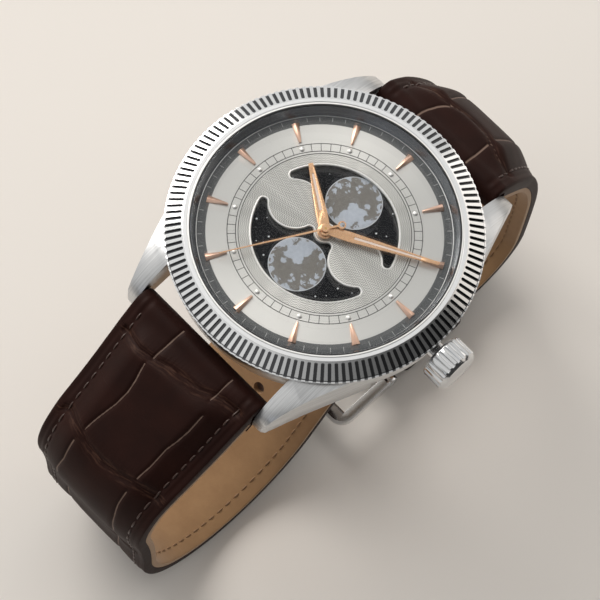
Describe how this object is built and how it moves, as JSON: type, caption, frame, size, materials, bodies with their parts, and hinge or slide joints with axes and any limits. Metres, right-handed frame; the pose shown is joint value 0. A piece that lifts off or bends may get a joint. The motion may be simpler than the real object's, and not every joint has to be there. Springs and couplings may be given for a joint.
{
  "type": "wristwatch",
  "caption": "Round wristwatch with a fluted bezel, applied markers, two moon apertures in an engine-turned dial, a side crown and a leather strap with a pin buckle.",
  "frame": {"origin": "centre of the case back's outer flat face", "axes": "+Z out of the dial, +X to the crown at three o'clock, +Y to twelve o'clock"},
  "size_m": [0.0462, 0.0791, 0.0553],
  "materials": {
    "case_steel": "brushed",
    "polished_steel": "polished",
    "crystal": "clear",
    "rubber": "matt",
    "dark_flange": "satin",
    "dial_silver": "radial brushed",
    "dark_ring": "satin",
    "rose_gold": "polished",
    "brass": "satin",
    "moon_blue": "gloss, printed",
    "plastic": "matt",
    "battery": "satin",
    "copper": "enamelled wire",
    "board": "satin",
    "magnet": "matt",
    "leather": "glossy embossed",
    "lining": "matt"
  },
  "bodies": {
    "case": {"mid_case": "case_steel", "bezel": "polished_steel", "crystal": "crystal", "crystal_gasket": "rubber", "rehaut": "dark_flange", "dial_plate": "dial_silver", "minute_ring": "dark_ring", "centre_plate": "dial_silver", "hour_markers": "rose_gold", "track_pearls": "polished_steel", "movement_ring": "plastic", "mainplate": "brass", "motion_cover": "brass", "train_bridge": "brass", "bridge_screws": "polished_steel", "battery": "battery", "battery_clamp": "brass", "coil": "copper", "stator": "battery", "circuit_board": "board", "crown_tube": "polished_steel", "case_back": "case_steel", "back_gasket": "rubber", "spring_bar_12": "polished_steel", "spring_bar_6": "polished_steel"},
    "minute": {"centre_wheel": "brass", "cannon_pinion": "polished_steel", "minute_hand": "rose_gold"},
    "hour": {"hour_wheel": "brass", "hour_hand": "rose_gold"},
    "second": {"seconds_wheel": "brass", "second_hand": "rose_gold"},
    "third": {"third_wheel": "brass"},
    "intermediate": {"intermediate_wheel": "brass"},
    "motor_rotor": {"rotor": "magnet"},
    "minute_gear": {"minute_wheel": "brass"},
    "setting_gear": {"setting_wheel": "polished_steel"},
    "day_gear": {"day_wheel": "brass"},
    "moon": {"moon_disc": "moon_blue"},
    "lever": {"setting_lever": "polished_steel"},
    "crown_body": {"crown": "polished_steel", "crown_gasket": "rubber", "winding_stem": "polished_steel"},
    "yoke_body": {"yoke": "polished_steel"},
    "clutch": {"sliding_pinion": "polished_steel"},
    "strap_12": {"strap_12_leather": "leather", "strap_12_lining": "lining", "fixed_keeper": "leather"},
    "keeper": {"sliding_keeper": "leather"},
    "frame": {"buckle_frame": "polished_steel", "buckle_bar": "polished_steel"},
    "tongue": {"buckle_tongue": "polished_steel"},
    "strap_6": {"strap_6_leather": "leather", "strap_6_lining": "lining"}
  },
  "joints": [
    {"name": "minute_turn", "type": "hinge", "parent": "case", "child": "minute", "pos_m": [0, 0, 0.0086], "axis": [0, 0, -1], "continuous": true},
    {"name": "hour_turn", "type": "hinge", "parent": "case", "child": "hour", "pos_m": [0, 0, 0.0081], "axis": [0, 0, -1], "continuous": true},
    {"name": "second_turn", "type": "hinge", "parent": "case", "child": "second", "pos_m": [0, 0, 0.0089], "axis": [0, 0, -1], "continuous": true},
    {"name": "third_turn", "type": "hinge", "parent": "case", "child": "third", "pos_m": [0, 0.004, 0.003], "axis": [0, 0, -1], "continuous": true},
    {"name": "intermediate_turn", "type": "hinge", "parent": "case", "child": "intermediate", "pos_m": [0.002, -0.00346, 0.003], "axis": [0, 0, -1], "continuous": true},
    {"name": "rotor_turn", "type": "hinge", "parent": "case", "child": "motor_rotor", "pos_m": [0.0034, -0.00589, 0.003], "axis": [0, 0, -1], "continuous": true},
    {"name": "minute_wheel_turn", "type": "hinge", "parent": "case", "child": "minute_gear", "pos_m": [0.0026, 0, 0.0062], "axis": [0, 0, -1], "continuous": true},
    {"name": "setting_wheel_turn", "type": "hinge", "parent": "case", "child": "setting_gear", "pos_m": [0.00585, 0, 0.0062], "axis": [0, 0, -1], "continuous": true},
    {"name": "day_wheel_turn", "type": "hinge", "parent": "case", "child": "day_gear", "pos_m": [-0.00577, -0.00239, 0.0065], "axis": [0, 0, -1], "continuous": true},
    {"name": "moon_turn", "type": "hinge", "parent": "case", "child": "moon", "pos_m": [0, 0, 0.0071], "axis": [0, 0, -1], "continuous": true},
    {"name": "crown_pull", "type": "slide", "parent": "case", "child": "lever", "axis": [1, 0, 0], "range_m": [0, 0.001]},
    {"name": "crown_turn", "type": "hinge", "parent": "lever", "child": "crown_body", "pos_m": [0, 0, 0.0046], "axis": [1, 0, 0], "continuous": true},
    {"name": "yoke_shift", "type": "slide", "parent": "case", "child": "yoke_body", "axis": [1, 0, 0], "range_m": [-0.0003, 0]},
    {"name": "clutch_turn", "type": "hinge", "parent": "yoke_body", "child": "clutch", "pos_m": [0, 0, 0.0046], "axis": [1, 0, 0], "continuous": true},
    {"name": "strap_12_swing", "type": "hinge", "parent": "case", "child": "strap_12", "pos_m": [0, 0.0224, 0.0025], "axis": [1, 0, 0], "range_deg": [-3, 75]},
    {"name": "strap_6_swing", "type": "hinge", "parent": "case", "child": "strap_6", "pos_m": [0, -0.0224, 0.0025], "axis": [-1, 0, 0], "range_deg": [-3, 75]},
    {"name": "keeper_slide", "type": "slide", "parent": "strap_12", "child": "keeper", "axis": [0, 1, 0], "range_m": [-0.003, 0.0038]},
    {"name": "buckle_swing", "type": "hinge", "parent": "strap_12", "child": "frame", "pos_m": [0, 0.0071, -0.0398], "axis": [1, 0, 0], "range_deg": [-20, 65]},
    {"name": "tongue_swing", "type": "hinge", "parent": "frame", "child": "tongue", "pos_m": [0, 0.0071, -0.0398], "axis": [1, 0, 0], "range_deg": [0, 40]}
  ],
  "couplings": [
    {"joint": "hour_turn", "follows": "minute_turn", "ratio": 0.083333},
    {"joint": "second_turn", "follows": "minute_turn", "ratio": 60},
    {"joint": "third_turn", "follows": "minute_turn", "ratio": -8},
    {"joint": "intermediate_turn", "follows": "minute_turn", "ratio": -300},
    {"joint": "rotor_turn", "follows": "minute_turn", "ratio": 1800},
    {"joint": "minute_wheel_turn", "follows": "minute_turn", "ratio": -0.33333},
    {"joint": "setting_wheel_turn", "follows": "minute_turn", "ratio": 0.5},
    {"joint": "day_wheel_turn", "follows": "minute_turn", "ratio": -0.041667},
    {"joint": "yoke_shift", "follows": "crown_pull", "ratio": -0.3},
    {"joint": "clutch_turn", "follows": "crown_turn", "ratio": 1}
  ]
}
